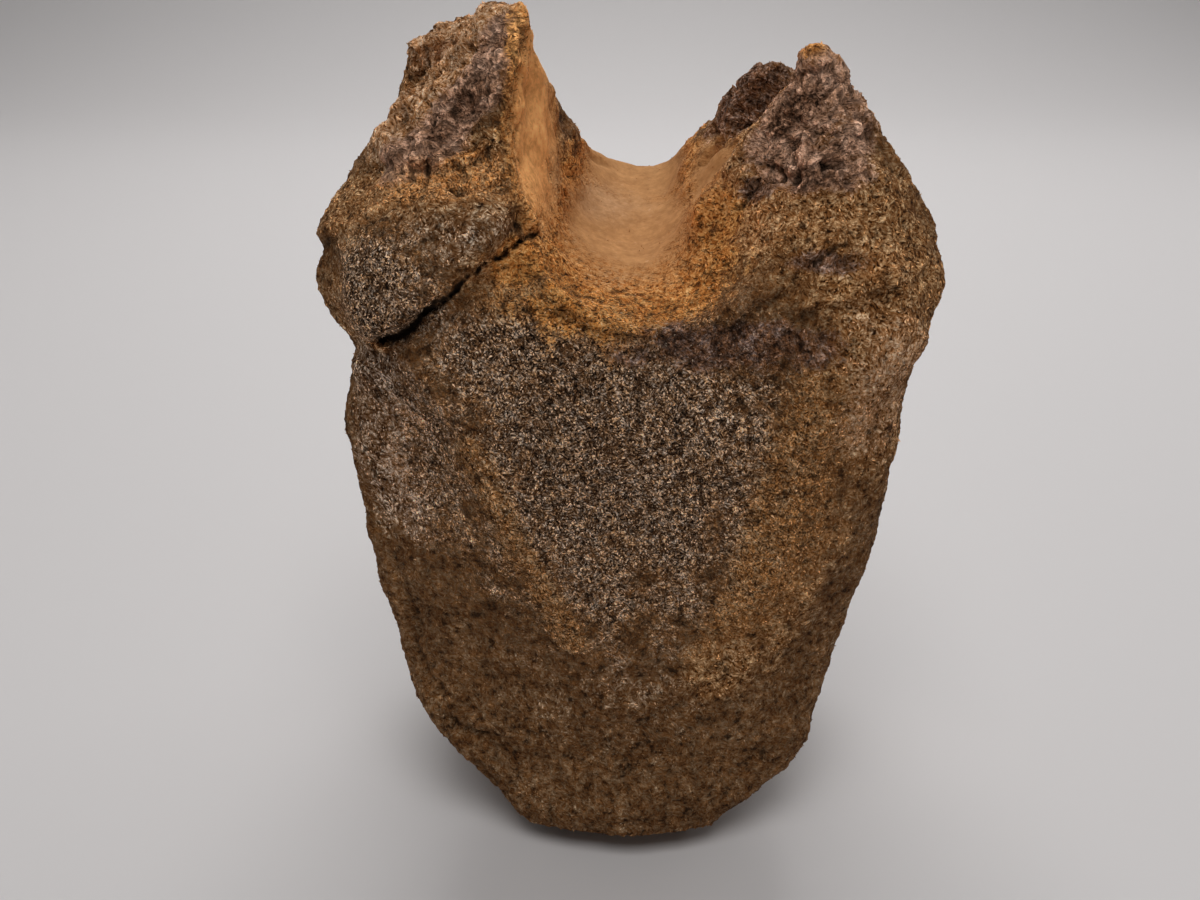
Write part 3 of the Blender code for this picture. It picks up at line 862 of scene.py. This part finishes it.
def stoneGroup(ragged):
    # the iron-stained colour of the stone from its looks and its grain tone, with painted shade in its gaps,
    # hollows and creases, painted light on its ridges, and painted highlights on torn crests
    levels = [(name.capitalize(), "Float", 0.0) for name in finishes if name != "rust"]
    tree, given, result = newTree("stainedAndShadedStone", "ShaderNodeTree", [
        ("Place", "Vector", None), ("Depth", "Float", 0.5), ("Tone", "Float", 0.0), ("Gap", "Float", 0.0),
        ("Tint", "Float", 0.0), ("Crease", "Float", 0.0)] + levels,
        [("Colour", "Color"), ("Roughness", "Float"), ("Relief", "Float"), ("Fracture", "Float")])
    place = given["Place"]
    colour = finishes["rust"]["colour"]
    spread = {key: finishes["rust"][key] for key in ("grain", "cluster", "gap")}
    masks = {}
    drift = cloud(tree, place, *stainingAndShade["patchCloud"])
    # grains of one look stray into the next one
    stray = calc(tree, "MULTIPLY", given["Tone"], stainingAndShade["stray"])
    for name, finish in finishes.items():
        if name == "rust":
            continue
        patch = put(tree, "ShaderNodeGroup", node_tree=ragged)
        tree.links.new(drift, patch.inputs["Drift"])
        tree.links.new(calc(tree, "ADD", given[name.capitalize()], stray), patch.inputs["Level"])
        patch.inputs["Raggedness"].default_value = finish["ragged"]
        patch.inputs["Softness"].default_value = finish["soft"]
        mask = masks[name] = patch.outputs[0]
        colour = blendColour(tree, mask, colour, finish["colour"])
        for key in spread:
            spread[key] = blendValue(tree, mask, spread[key], finish[key])
    # how bright each grain is, from its own tone and from the group and the stain it lies in
    group = cloud(tree, place, *stainingAndShade["groupCloud"])
    stain = cloud(tree, place, *stainingAndShade["stainCloud"])
    whole = calc(tree, "SUBTRACT", 1.0, calc(tree, "MAXIMUM", masks["smooth"], masks["torn"]))
    spot = calc(tree, "MULTIPLY", eased(tree, group, *stainingAndShade["spotRange"], 1.0, 0.0), whole)
    group = calc(tree, "ADD", centred(tree, group, 0.5, stainingAndShade["groupSpread"]),
                 centred(tree, stain, 0.5, stainingAndShade["stainSpread"]))
    power = calc(tree, "ADD", calc(tree, "MULTIPLY", given["Tone"], spread["grain"]),
                 calc(tree, "MULTIPLY", group, spread["cluster"]))
    gain = calc(tree, "POWER", math.e, power)
    # a wide spread lifts the middle, so it is brought down again
    gain = dimmed(tree, gain, spread["grain"], spread["grain"], stainingAndShade["spreadLoss"])
    # painted shade in the gaps between grains
    gain = dimmed(tree, gain, given["Gap"], spread["gap"])
    gain = dimmed(tree, gain, spot, stainingAndShade["spotDark"])
    # torn stone: painted highlights on the crests and painted shade in the hollows between them, where the
    # bump raises and lowers it
    streak = wovenStreaks(tree, bentPlace(tree, place, *stainingAndShade["tornBend"]), stainingAndShade["tornSize"])[0]
    rough = calc(tree, "MULTIPLY", masks["purpleAndShade"], stainingAndShade["purpleTorn"])
    rough = calc(tree, "MAXIMUM", masks["torn"], rough)
    fracture = centred(tree, eased(tree, streak, *stainingAndShade["tornRange"]), 0.5, rough)
    crestLightAndShade = calc(tree, "ADD", 1.0, calc(tree, "MULTIPLY", fracture, stainingAndShade["crestLightAndShadeGain"]))
    gain = calc(tree, "MULTIPLY", gain, crestLightAndShade)
    tree.links.new(fracture, result["Fracture"])
    # short level dashes where the crumbly ochre has dropped out
    dash = cloud(tree, vector(tree, "MULTIPLY", place, stainingAndShade["dashShape"]), *stainingAndShade["dashCloud"])
    crumbly = dimmed(tree, masks["ochre"], masks["smooth"])
    dash = calc(tree, "MULTIPLY", eased(tree, dash, *stainingAndShade["dashRange"]), crumbly)
    gain = dimmed(tree, gain, dash, stainingAndShade["dashDark"])
    # painted shade and light: points below their surroundings darker, points above them lighter
    gain = dimmed(tree, gain, centred(tree, given["Depth"], 0.5, stainingAndShade["hollowShadeAndRidgeLight"]))
    # dark grains are redder and pale ones greyer
    paler = blendColour(tree, masks["grey"], stainingAndShade["paleHue"], stainingAndShade["paleGreyHue"])
    hue = blendColour(tree, eased(tree, power, *stainingAndShade["powerRange"]), stainingAndShade["darkHue"], paler)
    colour = vector(tree, "MULTIPLY", colour, hue)
    # some grains lean to orange and others to grey
    lean = eased(tree, given["Tint"], *stainingAndShade["tintRange"])
    tint = blendColour(tree, lean, stainingAndShade["orangeTint"], stainingAndShade["greyTint"])
    colour = vector(tree, "MULTIPLY", colour, blendColour(tree, whole, (1.0, 1.0, 1.0, 1), tint))
    colour = stretched(tree, colour, gain)
    pale = calc(tree, "MULTIPLY", masks["grey"], stainingAndShade["quartzShare"])
    pale = calc(tree, "MULTIPLY", eased(tree, given["Tone"], *stainingAndShade["quartzRange"]), pale)
    colour = blendColour(tree, pale, colour, stainingAndShade["quartz"])
    # painted shade: deep hollows and the creases blend toward a near-black colour
    shadeShare = eased(tree, given["Depth"], *stainingAndShade["deepRange"])
    shadeShare = calc(tree, "MULTIPLY", shadeShare, stainingAndShade["deepShare"])
    shadeShare = calc(tree, "MAXIMUM", shadeShare, eased(tree, given["Crease"], *stainingAndShade["creaseRange"]))
    colour = blendColour(tree, shadeShare, colour, stainingAndShade["creviceShadeColour"])
    tree.links.new(colour, result["Colour"])
    shine = eased(tree, given["Tone"], *stainingAndShade["shineRange"], *stainingAndShade["roughness"])
    tree.links.new(shine, result["Roughness"])
    # how much of the fine relief is left
    calm = calc(tree, "MAXIMUM", calc(tree, "MULTIPLY", masks["smooth"], stainingAndShade["smoothCalm"]),
                calc(tree, "MULTIPLY", masks["bright"], stainingAndShade["brightCalm"]))
    left = calc(tree, "SUBTRACT", 1.0, calm)
    left = calc(tree, "SUBTRACT", left, calc(tree, "MULTIPLY", dash, stainingAndShade["dashCalm"]))
    tree.links.new(left, result["Relief"])
    return tree


def levelSocket(tree, name):
    return put(tree, "ShaderNodeAttribute", attribute_name=name).outputs["Fac"]


# bundle sizes of coarse and fine sand, and the depth of the fine relief in mm
surface = {
    "specular": 0.12, "bundleSizes": (1.35, 0.92), "fineRange": (0.3, 0.7), "looseSpread": 3.4,
    "dustCloud": (1.4, 3.0, 0.6), "dustHeight": 1.6, "tornHeight": 3.0, "depth": 0.3,
}


def stoneMaterial(name, stone, sand=None):
    material = bpy.data.materials.new(name)
    material.use_nodes = True
    tree = material.node_tree
    shader = tree.nodes["Principled BSDF"]
    shader.inputs["Specular IOR Level"].default_value = surface["specular"]
    place = stretched(tree, put(tree, "ShaderNodeTexCoord").outputs["Object"], 1 / mm)
    inputs = {look.capitalize(): levelSocket(tree, look) for look in finishes if look != "rust"}
    inputs["Place"] = place
    inputs["Depth"] = levelSocket(tree, "depth")
    inputs["Crease"] = levelSocket(tree, "crease")
    if sand:
        # fine sand where the look says so, coarser elsewhere
        share = eased(tree, levelSocket(tree, "fine"), *surface["fineRange"])
        sorts = []
        for size in surface["bundleSizes"]:
            sort = put(tree, "ShaderNodeGroup", node_tree=sand)
            tree.links.new(place, sort.inputs["Place"])
            sort.inputs["Bundle Size"].default_value = size
            sorts.append(sort.outputs)
        coarse, fine = sorts
        for key in ("Tone", "Gap"):
            inputs[key] = blendValue(tree, share, coarse[key], fine[key])
        inputs["Tint"] = coarse["Tone"]
    else:
        inputs["Tone"] = centred(tree, levelSocket(tree, "tone"), 0.5, surface["looseSpread"])
    node = put(tree, "ShaderNodeGroup", node_tree=stone)
    for key, value in inputs.items():
        tree.links.new(value, node.inputs[key])
    if sand:
        dust = calc(tree, "MULTIPLY", cloud(tree, place, *surface["dustCloud"]), surface["dustHeight"])
        height = calc(tree, "ADD", blendValue(tree, share, coarse["Height"], fine["Height"]), dust)
        height = calc(tree, "MULTIPLY", height, node.outputs["Relief"])
        crests = calc(tree, "MULTIPLY", node.outputs["Fracture"], surface["tornHeight"])
        height = calc(tree, "ADD", height, crests)
        bump = put(tree, "ShaderNodeBump", {
            "Strength": 1.0, "Distance": surface["depth"] * mm, "Height": height})
        tree.links.new(bump.outputs[0], shader.inputs["Normal"])
    tree.links.new(node.outputs["Colour"], shader.inputs["Base Color"])
    tree.links.new(node.outputs["Roughness"], shader.inputs["Roughness"])
    return material


# table and wall, in metres
stage = {
    "halfWidth": 2.2, "nearEdge": -1.2, "bendStart": 0.75, "bendRadius": 0.6, "bendSteps": 24,
    "wallHeight": 1.6, "colour": (0.66, 0.635, 0.63, 1), "roughness": 0.6,
}


def tableSweep():
    # table and wall in one curved sheet
    start, radius, half = stage["bendStart"], stage["bendRadius"], stage["halfWidth"]
    profile = [(stage["nearEdge"], 0.0)]
    for step in range(stage["bendSteps"] + 1):
        turn = math.pi / 2 * step / stage["bendSteps"]
        profile.append((start + radius * math.sin(turn), radius * (1 - math.cos(turn))))
    profile.append((start + radius, stage["wallHeight"]))
    corners = [(side * half, away, up) for away, up in profile for side in (-1, 1)]
    faces = [(row, row + 1, row + 3, row + 2) for row in range(0, len(corners) - 2, 2)]
    mesh = bpy.data.meshes.new("tableSweep")
    mesh.from_pydata(corners, [], faces)
    mesh.shade_smooth()
    material = bpy.data.materials.new("paleTable")
    material.use_nodes = True
    shader = material.node_tree.nodes["Principled BSDF"]
    shader.inputs["Base Color"].default_value = stage["colour"]
    shader.inputs["Roughness"].default_value = stage["roughness"]
    mesh.materials.append(material)
    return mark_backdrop(newObject("tableSweep", mesh))


# square soft lights in metres and watts, all aimed at the middle of the bone
lights = {
    "behind": {"place": (0, 0.7, 0.8), "size": 0.7, "power": 5.8},
    "behindLeft": {"place": (-0.7, 0.6, 0.6), "size": 0.7, "power": 0.4},
    "behindRight": {"place": (0.7, 0.6, 0.6), "size": 0.7, "power": 1.2},
    "aboveFront": {"place": (0, -0.43, 0.93), "size": 0.5, "power": 3.8},
}
lightAim = Vector((0, 0, 0.08))
roomLight = 0.13


def aimed(holder, place, forward):
    # put in its place, looking forward
    turn = forward.to_track_quat("-Z", "Y").to_matrix().to_4x4()
    holder.matrix_world = Matrix.Translation(place) @ turn


def softLights():
    for name, light in lights.items():
        lamp = bpy.data.lights.new(name, "AREA")
        lamp.size = light["size"]
        lamp.energy = light["power"]
        place = Vector(light["place"])
        aimed(newObject(name, lamp), place, lightAim - place)
    world = bpy.data.worlds.new("softRoom")
    world.use_nodes = True
    room = world.node_tree.nodes["Background"]
    room.inputs["Color"].default_value = (1, 1, 1, 1)
    room.inputs["Strength"].default_value = roomLight
    bpy.context.scene.world = world
    bpy.context.scene.view_settings.view_transform = "Standard"


# the camera's place in metres, how far it looks down, its lens and its film width
camera = {"place": (-0.0054, -0.2513, 0.1928), "down": math.radians(25), "lens": 39.0, "film": 36.0,
          "nearest": 0.01}


def setCamera():
    data = bpy.data.cameras.new("camera")
    data.lens = camera["lens"]
    data.sensor_width = camera["film"]
    data.clip_start = camera["nearest"]
    holder = newObject("camera", data)
    aimed(holder, camera["place"], Vector((0, math.cos(camera["down"]), -math.sin(camera["down"]))))
    bpy.context.scene.camera = holder


def nearestPlaces(points, others):
    # for each point, the place in the list of its nearest one of the others
    finder = KDTree(len(others))
    for place, other in enumerate(others):
        finder.insert(other, place)
    finder.balance()
    return np.array([finder.find(point)[1] for point in points])


def storeLooks(mesh, points):
    for look in looks:
        storeLevel(mesh, look, lookLevel(points, look))


setCamera()
softLights()
tableSweep()
print("stage, light and camera set")

stone = stoneGroup(brokenEdgeGroup())
stoneFinish = stoneMaterial("fossilStone", stone, sandGroup())
grainFinish = stoneMaterial("sandGrain", stone)

bone = boneSkin()
storeLooks(bone.data, pointsOf(bone.data))
runTree(bone, weatherTree(stoneFinish), {name: float(value) for name, value in relief.items()})

# how far each point lies below its surroundings, measured while the points are evenly spaced
evenShape = pointsOf(bone.data)
calmer = softened(evenShape, edgesOf(bone.data), skin["depthSoftening"])
inward = ((calmer - evenShape) * normalsOf(bone.data)).sum(1)

thin = bone.modifiers.new("thin", "DECIMATE")
bone.data.calc_loop_triangles()
thin.ratio = min(1.0, skin["mostFaces"] / len(bone.data.loop_triangles))
settle(bone)
shape = keepAboveTable(bone.data)
bone.data.shade_smooth()
storeLooks(bone.data, shape)
# the stored depth puts painted shade in hollows and painted light on ridges
storeLevel(bone.data, "depth", 0.5 + inward[nearestPlaces(shape, evenShape)] / skin["depthRange"])
# painted shade along the cracks and gullies, by each one's strength
creased = [creaseLevel(shape, crease)[0] * crease["paintedShade"] for crease in creases.values()]
storeLevel(bone.data, "crease", np.max(creased, 0))
print("weathered:", len(bone.data.polygons), "faces")

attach(bone, "root")
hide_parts("vertebra")

# where sand lies: little in the canal and on torn stone
levels = {name: lookLevel(shape, name) for name in looks}
calm = levels["smooth"] * 1.3 + levels["torn"] * 0.9 + levels["purpleAndShade"] * 0.5
shares = {
    "grey": np.clip(levels["grey"] * 1.3 - levels["ochre"], 0.1, 1) * np.clip(1 - calm, 0, 1),
    "rough": np.clip(1 - calm, 0.04, 1),
    "coarse": np.clip(1 - calm - levels["grey"] * 0.8, 0.02, 1),
}
sandTree = grainTree()
for name, sort in (grains).items():
    piece = newObject(name, bone.data.copy())
    storeLevel(piece.data, "sandShare", shares[sort["zone"]])
    values = {key: value for key, value in sort.items() if key != "zone"}
    values["Material"] = grainFinish
    runTree(piece, sandTree, values)
    keepAboveTable(piece.data)
    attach(piece, "root")
    print(name, len(piece.data.polygons), "faces")
